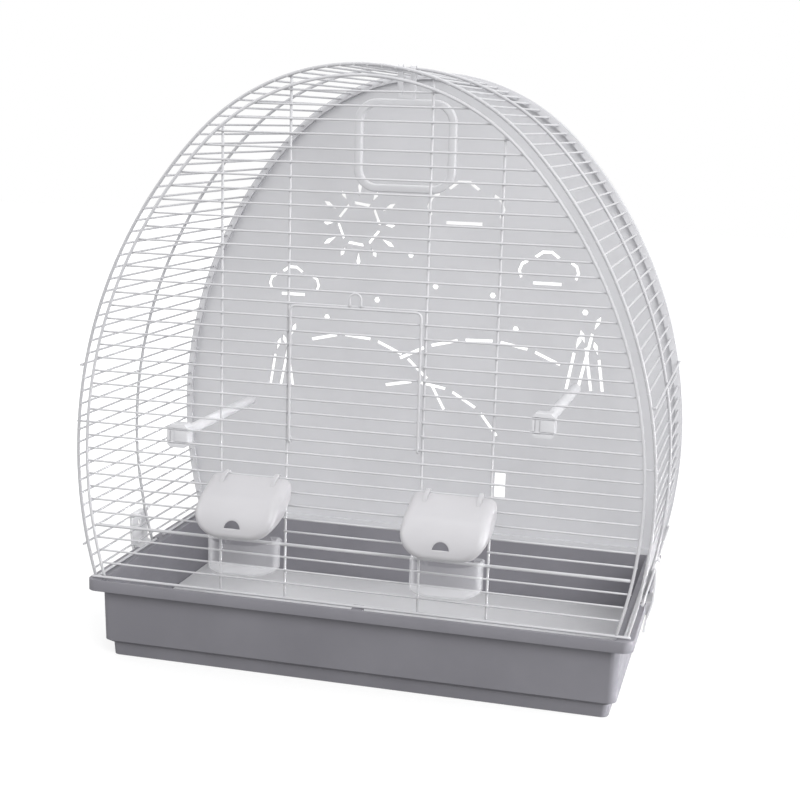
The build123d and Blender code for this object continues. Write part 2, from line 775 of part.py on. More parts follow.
# Side clips: plates that turn on a depth wire, with a toe that hooks under the tray's rim
pin_x, pin_z = band_place(2 * band_per_side - 1 - clip_wire_from_foot)
knuckle_inner = wire / 2 + pin_play
knuckle_outer = knuckle_inner + knuckle_wall
toe_top = rim_top - rim_height - toe_play
notch_tongue_x = clip_notch_x + notch_play
with BuildPart() as right_clip:
    with BuildSketch(Plane.XZ.offset(-clip_y)):
        with BuildLine():
            outer_x = pin_x + knuckle_outer
            waist_x = rim_width / 2 + clip_waist
            knee_x = rim_width / 2 + clip_knee
            Polyline(
                (outer_x, pin_z),
                (outer_x, pin_z - clip_bend_drop),
                (waist_x, sill_z),
                (knee_x, clip_low + clip_finger),
                (rim_width / 2, clip_low),
                (rim_width / 2 - clip_wall, clip_low),
                (knee_x - clip_wall, clip_low + clip_finger),
                (waist_x - clip_wall, sill_z),
                (outer_x - clip_wall, pin_z - clip_bend_drop),
                (outer_x - clip_wall, pin_z),
                close=True,
            )
        make_face()
    extrude(amount=clip_width / 2, both=True)
    with BuildSketch(Plane.XZ.offset(-clip_y)):
        with Locations((pin_x, pin_z)):
            RegularPolygon(knuckle_outer, knuckle_sides)
    extrude(amount=clip_width / 2, both=True)
    with BuildSketch(Plane.XZ.offset(-clip_y)):
        with BuildLine():
            Polyline(
                (notch_tongue_x - toe_reach, toe_top),
                (notch_tongue_x, toe_top),
                (notch_tongue_x, rim_top - tongue_thickness),
                (notch_tongue_x + tongue_thickness, rim_top - tongue_thickness),
                (waist_x - clip_wall / 2, sill_z),
                (knee_x - clip_wall / 2, toe_top - toe_thickness),
                (notch_tongue_x - toe_reach / 2, toe_top - toe_thickness),
                close=True,
            )
        make_face()
    extrude(amount=clip_width / 2 - toe_side_gap, both=True)
    with BuildSketch(Plane.XZ.offset(-clip_y)):
        with Locations((pin_x, pin_z)):
            Circle(knuckle_inner)
    extrude(amount=clip_width / 2, both=True, mode=Mode.SUBTRACT)
    with BuildSketch(Plane.XZ):
        with Locations((pin_x, pin_z)):
            Rectangle(4 * knuckle_outer, 2 * knuckle_outer + 1.0)
    extrude(amount=clip_arch_room, both=True, mode=Mode.SUBTRACT)
    with BuildSketch(Plane.YZ.offset(pin_x)):
        with Locations((clip_y, pin_z - clip_hole_drop)):
            Circle(clip_hole / 2)
    extrude(amount=2 * knuckle_outer, mode=Mode.SUBTRACT)
save(right_clip, "right_clip")

with BuildPart() as left_clip:
    add(mirror(right_clip.part, about=Plane.YZ, mode=Mode.PRIVATE))
save(left_clip, "left_clip")

# Back panel: a plate with a channelled edge that snaps round the rear arch
panel_back = 2 * back_y - panel_front
panel_bottom = rim_top + panel_play
channel_inset = arch_wire / 2 + panel_play


def spot(across, up):
    """A place on the grid of the panel's cut-outs."""
    return (across * pattern_pitch, sill_z + up * pattern_pitch)


def arc_slot(centre, radius, start, turn):
    """A slot bent round a centre in a few flats, from a start angle in degrees from +X."""
    flats = max(1, round(turn / 36))
    angles = [radians(start + turn * k / flats) for k in range(flats + 1)]
    outer = radius + panel_slot / 2
    inner = radius - panel_slot / 2
    outline = [(outer * cos(a), outer * sin(a)) for a in angles]
    outline += [(inner * cos(a), inner * sin(a)) for a in reversed(angles)]
    with Locations(centre):
        Polygon(*outline, align=None)


def drop_slot(centre, angle, near, far):
    """A pointed slot that points away from a centre."""
    widest = near + 0.65 * (far - near)
    outline = ((near, 0), (widest, -drop_width / 2), (far, 0), (widest, drop_width / 2))
    with Locations(centre):
        Polygon(*outline, rotation=angle, align=None)


def sun(centre, size, dashes, rays):
    """A dashed ring with long and short rays."""
    for dash in range(dashes):
        arc_slot(centre, size, 360 / dashes * dash, 264 / dashes)
    for ray in range(rays):
        drop_slot(centre, 360 / rays * ray, 1.25 * size, (1.75 + 0.25 * (ray % 2)) * size)


def cloud(centre, size):
    """Three bumps over a flat base."""
    x, z = centre
    arc_slot((x - size, z), 0.55 * size, 100, 120)
    arc_slot((x - 0.1 * size, z + 0.3 * size), 0.75 * size, 35, 110)
    arc_slot((x + size, z), 0.55 * size, -40, 115)
    with Locations((x - 0.05 * size, z - 0.62 * size)):
        Rectangle(1.5 * size, panel_slot)


def hill(centre, radius, start, dashes):
    """A long arc of even dashes, each with a gap after it."""
    step = degrees(3.8 * pattern_pitch / radius)
    for dash in range(dashes):
        arc_slot(centre, radius, start + step * dash, 0.78 * step)


def reed(foot, radius, rise, lean):
    """A bent stalk with a pointed head, leaning to +X where lean is 1 and to -X where it is -1."""
    turn = degrees(rise / radius)
    x, z = foot
    arc_slot((x + lean * radius, z), radius, 180 - turn if lean > 0 else 0, turn)
    tip = (x + lean * radius * (1 - cos(radians(turn))), z + radius * sin(radians(turn)))
    drop_slot(tip, 90 - lean * turn, 0.4 * pattern_pitch, 2 * pattern_pitch)


with BuildPart() as back_panel:
    with BuildSketch(Plane.XZ.offset(-panel_back)):
        add(arch_face(0, panel_bottom))
    extrude(amount=panel_back - panel_front)
    with BuildSketch(Plane.XZ.offset(-panel_front)):
        add(arch_face(panel_rim, panel_bottom + panel_rim))
    extrude(amount=-(panel_back - panel_front - panel_thickness), mode=Mode.SUBTRACT)
    with BuildSketch(Plane.XZ.offset(-back_y)):
        add(arch_face(-panel_play, panel_bottom - panel_play))
        add(arch_face(channel_inset, panel_bottom - panel_rim), mode=Mode.SUBTRACT)
    extrude(amount=channel_inset, both=True, mode=Mode.SUBTRACT)
    with BuildSketch(Plane.XZ.offset(-panel_back)):
        with Locations((panel_window_x, sill_z + panel_window_z)):
            Rectangle(panel_window_width, panel_window_height)
        sun(spot(-7.8, 33), 2.3 * pattern_pitch, 6, 12)
        for across, up, size in ((3.8, 35.2, 2.6), (12.8, 29, 2.0), (-15, 26.2, 1.8)):
            cloud(spot(across, up), size * pattern_pitch)
        for across, up, radius, start, dashes in (
            (-8.8, 9.2, 11.8, 22, 5),
            (6.2, 3.8, 17.6, 62, 5),
            (-1, 6, 10.4, 30, 4),
        ):
            hill(spot(across, up), radius * pattern_pitch, start, dashes)
        for across, up, radius, rise, lean in (
            (15.2, 16.8, 12, 4, 1),
            (16.4, 16.8, 15, 6.2, 1),
            (17.8, 16.8, 14, 4.6, -1),
            (19, 16.8, 11, 3.4, -1),
            (-17.6, 15, 11, 3.4, 1),
            (-16.4, 15, 14, 5.2, 1),
            (-15, 15, 12, 3.8, -1),
        ):
            reed(spot(across, up), radius * pattern_pitch, rise * pattern_pitch, lean)
        dots = ((-2, 30), (0.8, 26.8), (7, 26.2), (9.6, 22.8), (-5.6, 25), (-11.2, 22.8), (16.8, 25))
        for across, up in dots:
            with Locations(spot(across, up)):
                RegularPolygon(dot_radius, dot_sides)
    extrude(amount=panel_back - panel_front, mode=Mode.SUBTRACT)
save(back_panel, "back_panel")
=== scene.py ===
"""Bird cage: dresses the CAD model with round wires, soft hoods, clear cups and finishes, and lights it."""
import math

import bmesh
import bpy
from mathutils import Matrix, Vector


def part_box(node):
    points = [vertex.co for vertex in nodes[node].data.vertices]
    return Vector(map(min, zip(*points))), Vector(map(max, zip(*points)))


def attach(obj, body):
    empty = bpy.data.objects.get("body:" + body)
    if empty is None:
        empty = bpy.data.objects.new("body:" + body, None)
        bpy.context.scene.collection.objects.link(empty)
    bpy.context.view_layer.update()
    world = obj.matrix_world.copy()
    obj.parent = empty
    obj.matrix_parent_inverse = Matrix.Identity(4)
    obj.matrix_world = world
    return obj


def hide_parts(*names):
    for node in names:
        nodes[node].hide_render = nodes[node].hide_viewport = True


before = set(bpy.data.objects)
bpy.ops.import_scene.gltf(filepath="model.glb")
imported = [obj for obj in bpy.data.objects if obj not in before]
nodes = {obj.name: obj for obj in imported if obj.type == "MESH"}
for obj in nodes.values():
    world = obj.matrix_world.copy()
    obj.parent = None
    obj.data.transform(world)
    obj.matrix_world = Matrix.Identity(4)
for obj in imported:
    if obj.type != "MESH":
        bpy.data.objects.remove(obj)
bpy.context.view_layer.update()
MM = 0.001

# Wire thicknesses, in millimetres like all sizes up to the stage
WIRE = 1.8
BAND_WIRE = 2.0
UPRIGHT = 2.4
THICK = 2.8
ARCH = 3.0
DOOR_WIRE = 2.4
LOOP_WIRE = 2.0

# The arched outline: a crown arc that runs on into two flatter side arcs
SILL_Z = 80.0
CAGE_HEIGHT = 488.3
CROWN_RADIUS = 211.0
CROWN_ANGLE = math.radians(46.6)
SIDE_RADIUS = 440.0
CROWN_Z = SILL_Z + CAGE_HEIGHT - CROWN_RADIUS
SIDE_X = -(SIDE_RADIUS - CROWN_RADIUS) * math.sin(CROWN_ANGLE)
SIDE_Z = CROWN_Z - (SIDE_RADIUS - CROWN_RADIUS) * math.cos(CROWN_ANGLE)

# Places that the scene shares with the model
FRONT_Y, BACK_Y = -133.0, 133.0
FRAME_INSET = 11.0
ROW_Y = -130.68
WALL_Z = 81.3
PITCH = 12.5
FEEDER_X = 96.0
CLIP_X = 267.04
INNER_UPRIGHT_X, OUTER_UPRIGHT_X = 64.0, 128.0

# The front arch is a little smaller than the others and stands a little behind the frame
FRONT_ARCH_INSET, FRONT_ARCH_Y = 1.6, FRONT_Y + 0.9
BAND_FRONT, BAND_BACK = FRONT_Y - 0.6, BACK_Y - 0.4


def fill(node, values):
    """Sets inputs of a shader node by name."""
    for key, value in values.items():
        node.inputs[key].default_value = value


# Materials, with noise scales per metre
MOTTLE_SCALE, GLOSS_SCALE, WAVE_SCALE = 14, 55, 22
WAVE_DEPTH = 0.0006


def linear(rgb):
    """Linear colour of an sRGB colour in 0 to 255."""
    return [((c / 255 + 0.055) / 1.055) ** 2.4 if c > 10.3 else c / 255 / 12.92 for c in rgb] + [1.0]


def material(name, colour, spread, rough, grain, grain_depth, sockets=None, streak=0.0):
    """A moulded or coated finish: mottled colour, uneven gloss, fine grain and soft unevenness."""
    m = bpy.data.materials.new(name)
    m.use_nodes = True
    t = m.node_tree
    n, link = t.nodes, t.links.new
    bsdf = n["Principled BSDF"]
    place = n.new("ShaderNodeTexCoord").outputs["Object"]

    def cloud(scale, detail, stretch=(1, 1, 1)):
        move = n.new("ShaderNodeMapping")
        fill(move, {"Scale": stretch})
        link(place, move.inputs["Vector"])
        tex = n.new("ShaderNodeTexNoise")
        fill(tex, {"Scale": scale, "Detail": detail})
        link(move.outputs["Vector"], tex.inputs["Vector"])
        return tex.outputs["Fac"]

    def ramp(source, low, high, a, b):
        r = n.new("ShaderNodeMapRange")
        fill(r, {"From Min": low, "From Max": high, "To Min": a, "To Max": b})
        link(source, r.inputs["Value"])
        return r.outputs["Result"]

    def bump(height, strength, distance):
        b = n.new("ShaderNodeBump")
        fill(b, {"Strength": strength, "Distance": distance})
        link(height, b.inputs["Height"])
        return b

    mix = n.new("ShaderNodeMix")
    mix.data_type = "RGBA"
    mix.inputs["A"].default_value = linear([max(0, c - spread) for c in colour])
    mix.inputs["B"].default_value = linear([min(255, c + spread) for c in colour])
    link(ramp(cloud(MOTTLE_SCALE, 5), 0.35, 0.65, 0, 1), mix.inputs["Factor"])
    link(mix.outputs["Result"], bsdf.inputs["Base Color"])
    gloss = cloud(GLOSS_SCALE, 4, (1, 1, 1 + 6 * streak))
    link(ramp(gloss, 0.3, 0.7, 0.82 * rough, 1.22 * rough), bsdf.inputs["Roughness"])
    fine = bump(cloud(grain, 3), 0.35, grain_depth)
    wave = bump(cloud(WAVE_SCALE, 2), 0.25, WAVE_DEPTH)
    link(fine.outputs["Normal"], wave.inputs["Normal"])
    link(wave.outputs["Normal"], bsdf.inputs["Normal"])
    fill(bsdf, sockets or {})
    return m


coat = material("white_coat", (193, 193, 196), 3, 0.36, 900, 0.00012, {
    "Coat Weight": 0.25, "Coat Roughness": 0.3})
# Painted shade: a darker copy of the white coat for the arches and the depth wires, standing in for the shade
# on them
shaded_coat = material("white_coat_painted_shade", (183, 183, 186), 3, 0.36, 900, 0.00012, {
    "Coat Weight": 0.2, "Coat Roughness": 0.3})
tray_grey = material("grey_tray_plastic", (127, 126, 132), 3, 0.42, 1400, 0.00005, {
    "Specular IOR Level": 0.4}, 0.5)
sheet_grey = material("pale_floor_sheet", (217, 217, 219), 3, 0.4, 500, 0.00006)
panel_grey = material("pale_panel_plastic", (205, 205, 208), 2, 0.5, 1100, 0.00006, {
    "Specular IOR Level": 0.35})
milky = material("milky_hood_plastic", (185, 184, 187), 2, 0.34, 700, 0.00004, {
    "Subsurface Weight": 0.3, "Subsurface Radius": (0.006, 0.006, 0.006), "Subsurface Scale": 1.0})
clear = material("clear_cup_plastic", (226, 226, 229), 2, 0.06, 400, 0.00002, {"IOR": 1.49})
frosty = material("frosty_clip_plastic", (222, 222, 224), 3, 0.35, 700, 0.00004, {
    "Subsurface Weight": 0.3, "Subsurface Radius": (0.004, 0.004, 0.004)})
swing_white = material("swing_plastic", (203, 203, 206), 2, 0.38, 900, 0.00004)
perch_white = material("perch_plastic", (202, 202, 205), 2, 0.45, 500, 0.00012, streak=1.0)

# The clear plastic lets the light through where it is seen square on, and shows at its turned edges
tree = clear.node_tree
turned = tree.nodes.new("ShaderNodeLayerWeight")
fill(turned, {"Blend": 0.5})
veil = tree.nodes.new("ShaderNodeMapRange")
veil.interpolation_type = "SMOOTHSTEP"
fill(veil, {"From Min": 0.35, "From Max": 1.0, "To Min": 0.07, "To Max": 0.55})
tree.links.new(turned.outputs["Facing"], veil.inputs["Value"])
tree.links.new(veil.outputs["Result"], tree.nodes["Principled BSDF"].inputs["Alpha"])

finish = {
    "base_tray": tray_grey, "sill_catch": tray_grey, "floor_liner": sheet_grey, "back_panel": panel_grey,
    "left_hood": milky, "right_hood": milky, "left_cup": clear, "right_cup": clear,
    "left_clip": frosty, "right_clip": frosty, "swing_loop": swing_white, "swing_hanger": swing_white,
    "left_perch_block": perch_white, "right_perch_block": perch_white,
    "left_perch_rod": perch_white, "right_perch_rod": perch_white,
}
for name, node in nodes.items():
    node.data.materials.clear()
    node.data.materials.append(finish.get(name, coat))

# Moulded pieces keep their CAD solids, with edges broken by a small radius. The panel's many slots look
# right only with flat faces.
edge = {
    "base_tray": 0.9, "back_panel": 0.5, "left_clip": 0.45, "right_clip": 0.45,
    "swing_loop": 1.6, "swing_hanger": 0.4, "left_perch_block": 0.8, "right_perch_block": 0.8,
    "sill_catch": 0.4, "floor_liner": 0.3, "left_perch_rod": 0.8, "right_perch_rod": 0.8,
}


def broken_edges(obj, size, segments=3, angle=30, smooth=True):
    """Rounds the edges of a piece a little and keeps its flats flat."""
    bevel = obj.modifiers.new("edge", "BEVEL")
    bevel.width = size * MM
    bevel.segments = segments
    bevel.limit_method = "ANGLE"
    bevel.angle_limit = math.radians(angle)
    bevel.harden_normals = smooth


for name, size in edge.items():
    node = nodes[name]
    smooth = name != "back_panel"
    for p in node.data.polygons:
        p.use_smooth = smooth
    weld = node.modifiers.new("weld", "WELD")
    weld.merge_threshold = 1e-6
    flat = node.modifiers.new("flat", "DECIMATE")
    flat.decimate_type = "DISSOLVE"
    flat.angle_limit = math.radians(0.5)
    broken_edges(node, size, angle=35, smooth=smooth)


# Wires
DOME = 0.35
DOMED_END = ((0.0, 0.62), (0.4, 0.9), (1.0, 1.0))


def tube(bm, points, radius, sides=14, cap=True):
    """Adds a round wire along points, with domed ends."""
    pts = [Vector(p) for p in points]
    tangents = []
    for k in range(len(pts)):
        a = pts[max(k - 1, 0)]
        b = pts[min(k + 1, len(pts) - 1)]
        tangents.append((b - a).normalized())
    side = tangents[0].orthogonal().normalized()
    stations = [(pts[k], tangents[k], 1.0) for k in range(len(pts))]
    if cap:
        dome = DOME * radius
        first = [(pts[0] + tangents[0] * reach * dome, tangents[0], swell) for reach, swell in DOMED_END]
        last = [(pts[-1] - tangents[-1] * reach * dome, tangents[-1], swell)
                for reach, swell in reversed(DOMED_END)]
        stations = first + stations[1:-1] + last
    rings = []
    for centre, direction, swell in stations:
        side = (side - direction * side.dot(direction)).normalized()
        other = direction.cross(side)
        rings.append([bm.verts.new((centre + (side * math.cos(a) + other * math.sin(a)) * radius * swell) * MM)
                      for a in (2 * math.pi * k / sides for k in range(sides))])
    skin(bm, rings)
    bm.faces.new(list(reversed(rings[0])))
    bm.faces.new(rings[-1])


def skin(bm, rings):
    """Joins closed rings of vertices, each to the next."""
    for low, high in zip(rings, rings[1:]):
        for k in range(len(low)):
            j = (k + 1) % len(low)
            bm.faces.new((low[k], low[j], high[j], high[k]))


def solid(name, bm, body, mat, slot, *replaced):
    """Makes the mesh an object on a body, in place of CAD nodes."""
    bmesh.ops.recalc_face_normals(bm, faces=bm.faces)
    mesh = bpy.data.meshes.new(name)
    bm.to_mesh(mesh)
    bm.free()
    for p in mesh.polygons:
        p.use_smooth = True
    mesh.materials.append(mat)
    obj = bpy.data.objects.new(name, mesh)
    bpy.context.scene.collection.objects.link(obj)
    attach(obj, body)
    if replaced:
        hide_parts(*replaced)
    return obj


def wire_boxes(name):
    """Boxes of the separate wires in a CAD node, in order of their places."""
    bm = bmesh.new()
    bm.from_mesh(nodes[name].data)
    bmesh.ops.remove_doubles(bm, verts=bm.verts, dist=2e-6)
    left = set(bm.verts)
    boxes = []
    while left:
        stack = [left.pop()]
        group = []
        while stack:
            v = stack.pop()
            group.append(v.co / MM)
            for e in v.link_edges:
                w = e.other_vert(v)
                if w in left:
                    left.remove(w)
                    stack.append(w)
        boxes.append((Vector(min(c[i] for c in group) for i in range(3)),
                      Vector(max(c[i] for c in group) for i in range(3))))
    bm.free()
    return sorted(boxes, key=lambda box: (box[0].z, box[0].x, box[0].y))


def inward(place):
    """Direction from a place near the arched outline to the centre of its arc."""
    turn = math.atan2(abs(place.x), place.z - CROWN_Z)
    side = 1 if place.x >= 0 else -1
    centre = Vector((0, 0, CROWN_Z)) if turn <= CROWN_ANGLE else Vector((side * SIDE_X, 0, SIDE_Z))
    return (centre - Vector((place.x, 0, place.z))).normalized()


def band_shift(middle):
    """Depth wires lie inside the arches, apart from the pair that the clips turn on."""
    if abs(abs(middle.x) - CLIP_X) < 1:
        return Vector()
    return inward(middle) * (ARCH + WIRE)


def straight_wires(name, diameter, body="cage", mat=coat):
    """Round wires in place of a node of straight wires."""
    spacing = 24
    bm = bmesh.new()
    for low, high in wire_boxes(name):
        middle = (low + high) / 2
        axis = max(range(3), key=lambda i: high[i] - low[i])
        if name.startswith("band_wires") and band_shift(middle).length:
            middle += band_shift(middle)
            low.y, high.y = BAND_FRONT, BAND_BACK
        length = high[axis] - low[axis]
        count = max(2, int(length / spacing) + 1)
        points = []
        for k in range(count):
            p = middle.copy()
            p[axis] = low[axis] + length * k / (count - 1)
            points.append(p)
        tube(bm, points, diameter / 2, 12)
    solid("round_" + name, bm, body, mat, "white_wire", name)


def arch_point(angle, inset):
    """Point of the arched outline at an angle from straight up."""
    side = 1 if angle >= 0 else -1
    turn = abs(angle)
    if turn <= CROWN_ANGLE:
        r = CROWN_RADIUS - inset
        return side * r * math.sin(turn), CROWN_Z + r * math.cos(turn)
    r = SIDE_RADIUS - inset
    return side * (SIDE_X + r * math.sin(turn)), SIDE_Z + r * math.cos(turn)


# Arches take the darker painted-shade copy of the coat unless another finish is given
def arch_wire(name, y, inset, diameter, mat=shaded_coat):
    """A round bent wire in place of an arch, down to the foot of its node."""
    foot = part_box(name)[0].z / MM
    low = math.acos((foot - SIDE_Z) / (SIDE_RADIUS - inset))
    points = []
    steps = 120
    for k in range(steps + 1):
        x, z = arch_point(-low + 2 * low * k / steps, inset)
        points.append((x, y, z))
    bm = bmesh.new()
    tube(bm, points, diameter / 2)
    solid("round_" + name, bm, "cage", mat, "white_wire", name)


# Depth wires get the darker painted-shade copy of the coat
for name in nodes:
    if name.startswith("band_wires"):
        straight_wires(name, BAND_WIRE, "cage", shaded_coat)
    elif name.endswith("_rows") or name == "door_hinge_row":
        straight_wires(name, WIRE, "door" if name == "door_rows" else "cage")
for name in ("left_inner_upright", "left_outer_upright", "right_inner_upright", "right_outer_upright"):
    straight_wires(name, UPRIGHT)
for name in ("sill_wire", "left_rails", "right_rails"):
    straight_wires(name, THICK)
straight_wires("cross_wire", ARCH)
arch_wire("front_arch", FRONT_ARCH_Y, FRONT_ARCH_INSET, ARCH)
arch_wire("front_frame", FRONT_Y, FRAME_INSET, THICK, coat)
arch_wire("middle_arch", 0, 0, ARCH)
arch_wire("rear_arch", BACK_Y, 0, ARCH)


def level_z(level):
    """Height of a front wire, counted in pitches."""
    return WALL_Z + level * PITCH


def turn_points(centre, radius, start, end, count):
    """Points of an arc in a plane, from one angle in degrees to another."""
    angles = [math.radians(start + (end - start) * k / count) for k in range(count + 1)]
    return [(centre[0] + radius * math.cos(a), centre[1] + radius * math.sin(a)) for a in angles]


# Door: one round wire with eyes at its feet, and the finger loop on its top
DOOR_HALF, DOOR_TOP, DOOR_CORNER = 60.5, WALL_Z + 273.5, 5
EYE = 2.4
EYE_OPEN, EYE_CLOSED = 180, 415
HINGE_Z = level_z(12)
LEG_Y = ROW_Y - EYE
LEG_STEPS, TOP_STEPS = 8, 6
eye = turn_points((ROW_Y, HINGE_Z), EYE, EYE_OPEN, EYE_CLOSED, 28)
leg = [(-DOOR_HALF, y, z) for y, z in reversed(eye)]
leg += [(-DOOR_HALF, LEG_Y, HINGE_Z + (DOOR_TOP - DOOR_CORNER - HINGE_Z) * k / LEG_STEPS)
        for k in range(1, LEG_STEPS)]
leg += [(x, LEG_Y, z) for x, z in turn_points(
    (-DOOR_HALF + DOOR_CORNER, DOOR_TOP - DOOR_CORNER), DOOR_CORNER, 180, 90, 8)]
top = [(-DOOR_HALF + DOOR_CORNER + (2 * DOOR_HALF - 2 * DOOR_CORNER) * k / TOP_STEPS, LEG_Y, DOOR_TOP)
       for k in range(1, TOP_STEPS)]
bm = bmesh.new()
tube(bm, leg + top + [(-x, y, z) for x, y, z in reversed(leg)], DOOR_WIRE / 2)
solid("round_door_frame", bm, "door", coat, "white_wire", "door_frame")
LOOP_FOOT = DOOR_TOP + 1.22
LOOP_HALF, LOOP_KNEE, LOOP_RISE = 5.25, 2.6, 7.05
loop = [(-LOOP_HALF, LOOP_FOOT), (-LOOP_HALF, LOOP_FOOT + LOOP_KNEE)]
loop += turn_points((0, LOOP_FOOT + LOOP_RISE), LOOP_HALF, 180, 0, 16)
loop += [(LOOP_HALF, LOOP_FOOT + LOOP_KNEE), (LOOP_HALF, LOOP_FOOT)]
bm = bmesh.new()
tube(bm, [(x, LEG_Y, z) for x, z in loop], LOOP_WIRE / 2, cap=False)
solid("round_door_latch", bm, "door", coat, "white_wire", "door_latch")

# Hoods: a soft visor with a thumb hole, and two hooks. Seen from the side it slopes down to a round brow,
# seen from the front it has two round lower corners, and the two forms meet in a soft edge.
HOOD_HALF = 39.0
HOOD_CORNER = 25.0
HOOD_BROW = 32.0
HOOD_SOFT = 7.0
HOOD_WALL = 1.6
HOOD_BACK, HOOD_FRONT = FRONT_Y - 1.6, FRONT_Y - 50.0
HOOD_TOP, HOOD_LIP, HOOD_HEEL = WALL_Z + 113, WALL_Z + 64, WALL_Z + 96
SLOPE = math.radians(22)
BEND_Y = HOOD_FRONT + HOOD_BROW * (1 - math.sin(SLOPE))
BROW_Y = HOOD_FRONT + HOOD_BROW
BROW_Z = HOOD_TOP - (HOOD_BACK - BEND_Y) * math.tan(SLOPE) - HOOD_BROW * math.cos(SLOPE)
HOLE_Z, HOLE_RADIUS, POLE_LIFT = WALL_Z + 75, 8.0, 3.4
POLE_Z = HOLE_Z + POLE_LIFT
HOOD_REACH = 130  # longer than the hood in every direction


def hood_distance(p):
    """How far a point, measured from the hood's middle plane, lies outside its soft outer form."""
    vy, vz = p.y - BROW_Y, p.z - BROW_Z
    flat = max(-vy, vz * math.cos(SLOPE) - vy * math.sin(SLOPE))
    inside = 0 < math.atan2(vz, -vy) < math.pi / 2 - SLOPE
    side = (math.hypot(vy, vz) if inside else flat) - HOOD_BROW
    qx, qz = abs(p.x) - HOOD_HALF + HOOD_CORNER, HOOD_LIP + HOOD_CORNER - p.z
    front = math.hypot(max(qx, 0), max(qz, 0)) + min(max(qx, qz), 0) - HOOD_CORNER
    soft = math.hypot(max(side + HOOD_SOFT, 0), max(front + HOOD_SOFT, 0)) - HOOD_SOFT
    deep = max(side, front) < -HOOD_SOFT
    return max(side, front) if deep else soft


def bisect(low, high, test):
    """The value between low and high at which the test turns false."""
    for _ in range(26):
        middle = (low + high) / 2
        if test(middle):
            low = middle
        else:
            high = middle
    return (low + high) / 2


def hood_point(turn, tilt):
    """Point of the outer form in a direction round the pole and away from it."""
    start = Vector((0, HOOD_BACK, POLE_Z))
    ray = Vector((math.cos(turn) * math.sin(tilt), -math.cos(tilt), math.sin(turn) * math.sin(tilt)))
    return start + ray * bisect(0, HOOD_REACH, lambda t: hood_distance(start + ray * t) < 0)


def hood_normal(p):
    """Outward direction of the soft form at a point."""
    step = 0.02
    return Vector([(hood_distance(p + Vector(d) * step) - hood_distance(p - Vector(d) * step))
                   for d in ((1, 0, 0), (0, 1, 0), (0, 0, 1))]).normalized()


def hood_edge_height(y):
    """Height of the cheeks' lower edge, which rises from the lip to the back."""
    return HOOD_HEEL + (HOOD_BACK - y) / (HOOD_BACK - HOOD_FRONT) * (HOOD_LIP - HOOD_HEEL)


def hood_loops():
    """Closed loops of points: outside from the hole to the edge, round the lip, and back inside."""
    turns, steps = 132, 26
    lip_steps, lip_swell = 6, 0.5
    loops = []
    for k in range(turns):
        turn = 2 * math.pi * (k + 0.5) / turns
        hole = -POLE_LIFT * math.sin(turn) + math.sqrt(HOLE_RADIUS ** 2 - (POLE_LIFT * math.cos(turn)) ** 2)
        if math.sin(turn) < 0:
            hole = min(hole, POLE_LIFT / -math.sin(turn))
        near = bisect(0, 1.2, lambda t: math.hypot(
            hood_point(turn, t).x, hood_point(turn, t).z - POLE_Z) < hole)
        far = bisect(near, math.pi / 2, lambda t: hood_point(turn, t).z > hood_edge_height(
            hood_point(turn, t).y))
        outer = [hood_point(turn, near + (far - near) * j / steps) for j in range(steps + 1)]
        normals = [hood_normal(p) for p in outer]
        loop = list(outer)
        for end, sign in ((steps, 1), (0, -1)):
            along = (outer[end] - outer[end - sign]).normalized()
            middle = outer[end] - normals[end] * HOOD_WALL / 2
            lip = []
            for j in range(1, lip_steps):
                a = math.pi * j / lip_steps
                lip.append(middle + normals[end] * (HOOD_WALL / 2 * math.cos(a)) + along * (
                    lip_swell * math.sin(a)))
            loop += lip if sign == 1 else list(reversed(lip))
            if sign == 1:
                loop += [p - n * HOOD_WALL for p, n in reversed(list(zip(outer, normals)))]
        loops.append(loop)
    return loops


def prism(bm, outline, low, high, axis):
    """Adds a plate with an outline in the two other axes, between two places along an axis."""
    def place(u, v, w):
        return {"X": (w, u, v), "Y": (u, w, v), "Z": (u, v, w)}[axis]
    a = [bm.verts.new(Vector(place(u, v, low)) * MM) for u, v in outline]
    b = [bm.verts.new(Vector(place(u, v, high)) * MM) for u, v in outline]
    bm.faces.new(a)
    bm.faces.new(b)
    for k in range(len(a)):
        j = (k + 1) % len(a)
        bm.faces.new((a[k], a[j], b[j], b[k]))


# A hook's side view: from its foot on the hood up and round the wire that it hangs on
GRIP_HALF = 24.5
HOOK_HALF = 2
HOOK_IN, HOOK_OUT = 1.2, 3.4
HOOK_RUN, HOOK_SINK = 14, 0.6
HOOD_WIRE_Z = level_z(9)
hook = [(HOOD_BACK - HOOK_RUN, HOOD_TOP - HOOK_RUN * math.tan(SLOPE) - HOOK_SINK),
        (FRONT_Y - 9, HOOD_TOP - 0.5)]
hook += turn_points((ROW_Y, HOOD_WIRE_Z), HOOK_OUT, 120, -55, 14)
hook += turn_points((ROW_Y, HOOD_WIRE_Z), HOOK_IN, -50, 180, 16)
hook += [(ROW_Y - HOOK_OUT, HOOD_WIRE_Z - 0.8), (HOOD_BACK + 0.2, HOOD_TOP - 1.4)]

hood_shape = hood_loops()
for side, hand in ((-1, "left"), (1, "right")):
    centre = side * FEEDER_X
    bm = bmesh.new()
    loops = [[bm.verts.new((p + Vector((centre, 0, 0))) * MM) for p in loop] for loop in hood_shape]
    for k in range(len(loops)):
        a, b = loops[k], loops[(k + 1) % len(loops)]
        for j in range(len(a)):
            i = (j + 1) % len(a)
            bm.faces.new((a[j], b[j], b[i], a[i]))
    solid(f"{hand}_hood_visor", bm, f"{hand}_hood", milky, "hood_plastic", f"{hand}_hood")
    bm = bmesh.new()
    for lean in (-1, 1):
        middle = centre + lean * GRIP_HALF
        prism(bm, hook, middle - HOOK_HALF, middle + HOOK_HALF, "X")
    broken_edges(solid(f"{hand}_hood_hooks", bm, f"{hand}_hood", milky, "hood_plastic"), 0.6)

